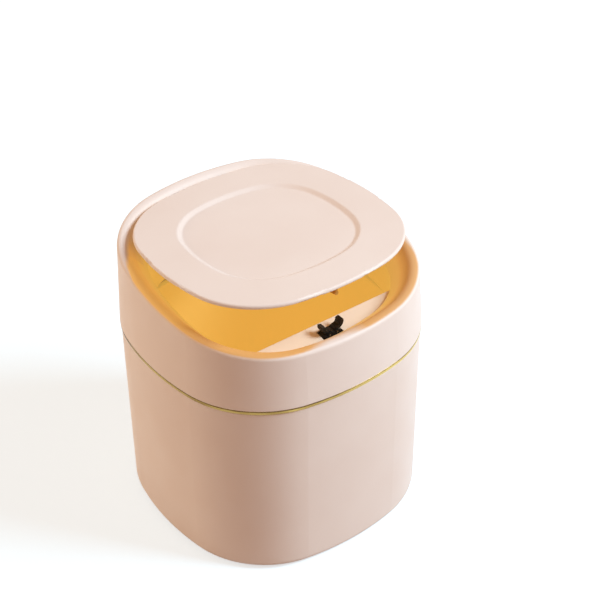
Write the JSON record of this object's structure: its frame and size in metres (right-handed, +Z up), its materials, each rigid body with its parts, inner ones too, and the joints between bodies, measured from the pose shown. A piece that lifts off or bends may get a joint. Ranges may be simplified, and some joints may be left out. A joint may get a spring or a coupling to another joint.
{
  "type": "push top countertop bin",
  "caption": "Rounded square countertop bin: body with inner pail, lift-off slanted collar over a metallic trim line, thin hinged lid and push latch on a front shelf.",
  "frame": {"origin": "on the counter, under the middle of the plan", "axes": "+Z up, -Y the latch side where the lid opens, +Y the hinge side, +X to the right seen from the latch side"},
  "size_m": [0.1512, 0.1512, 0.171],
  "materials": {
    "cream_plastic": "fine satin moulded plastic",
    "amber_plastic": "smooth satin moulded plastic",
    "gold_trim": "polished plated band",
    "black_plastic": "satin moulded acetal",
    "steel": "drawn wire and rod",
    "foot_rubber": "matt"
  },
  "bodies": {
    "base": {"body_shell": "cream_plastic", "foot_pads": "foot_rubber", "trim_ring": "gold_trim", "inner_pail": "amber_plastic"},
    "collar_body": {"collar": "cream_plastic", "collar_funnel": "cream_plastic", "latch_shelf": "cream_plastic", "hinge_pin": "steel", "torsion_spring_left": "steel", "torsion_spring_right": "steel", "latch_housing": "black_plastic", "latch_screws": "steel", "latch_spring": "steel", "latch_cam_pin": "steel"},
    "lid": {"lid_top": "cream_plastic", "lid_striker": "amber_plastic"},
    "latch": {"latch_plunger": "black_plastic", "latch_jaw_pins": "steel"},
    "jaw_left": {"latch_jaw_left": "black_plastic"},
    "jaw_right": {"latch_jaw_right": "black_plastic"}
  },
  "joints": [
    {"name": "collar_lift", "type": "slide", "parent": "base", "child": "collar_body", "axis": [0, 0, 1], "range_m": [0, 0.06]},
    {"name": "lid_hinge", "type": "hinge", "parent": "collar_body", "child": "lid", "pos_m": [0, 0.06115, 0.16085], "axis": [-1, 0, 0], "range_deg": [-11.8, 58]},
    {"name": "latch_slide", "type": "slide", "parent": "collar_body", "child": "latch", "axis": [0, 0, -1], "range_m": [0, 0.002], "stiffness_N_per_m": 80, "springref_m": -0.001, "deforming": ["latch_spring"]},
    {"name": "jaw_left_swing", "type": "hinge", "parent": "latch", "child": "jaw_left", "pos_m": [-0.0024, -0.05265, 0.1334], "axis": [0, 1, 0], "range_deg": [0, 38.6]},
    {"name": "jaw_right_swing", "type": "hinge", "parent": "latch", "child": "jaw_right", "pos_m": [0.0024, -0.05265, 0.1334], "axis": [0, -1, 0], "range_deg": [0, 38.6]}
  ],
  "couplings": [
    {"joint": "jaw_left_swing", "follows": "latch_slide", "rad_per_m": 336.8},
    {"joint": "jaw_right_swing", "follows": "latch_slide", "rad_per_m": 336.8}
  ]
}
